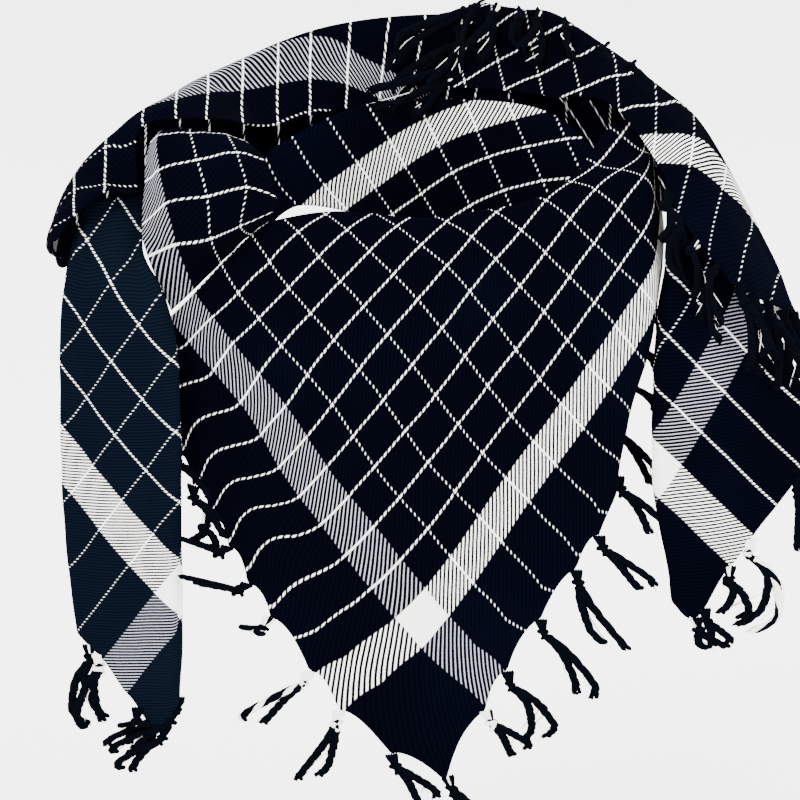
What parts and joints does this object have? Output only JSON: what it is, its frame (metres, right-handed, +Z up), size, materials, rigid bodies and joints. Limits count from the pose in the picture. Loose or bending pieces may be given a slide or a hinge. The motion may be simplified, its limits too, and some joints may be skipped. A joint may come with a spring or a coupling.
{
  "type": "keffiyeh headscarf",
  "caption": "Square woven check headscarf with knotted fringe, wound round an empty neck: a triangle on the chest, wraps over both shoulders and hanging tails.",
  "frame": {"origin": "middle of the neck opening at the level of the front neckline, where the wearer's neck and shoulders hold the scarf", "axes": "+Z up, the chest triangle faces -Y, and +X is towards the viewer's right when looking at the front"},
  "size_m": [0.6141, 0.3052, 0.6376],
  "materials": {
    "cloth": "matte black and off-white twill with woven check lines and border bands",
    "fringe": "matte twisted cotton yarn, black with off-white strands"
  },
  "bodies": {
    "root": {"bib_front": "cloth", "shoulder_left": "cloth", "nape_inner": "cloth", "back_left": "cloth", "back_right": "cloth", "tail_left": "cloth", "tail_right": "cloth", "fringe_bib_left": "fringe", "fringe_bib_right": "fringe", "fringe_tail_left": "fringe", "fringe_tail_right": "fringe", "fringe_nape_end": "fringe", "fringe_shoulder_front": "fringe", "fringe_shoulder_end": "fringe", "fringe_back_top": "fringe"}
  },
  "joints": []
}
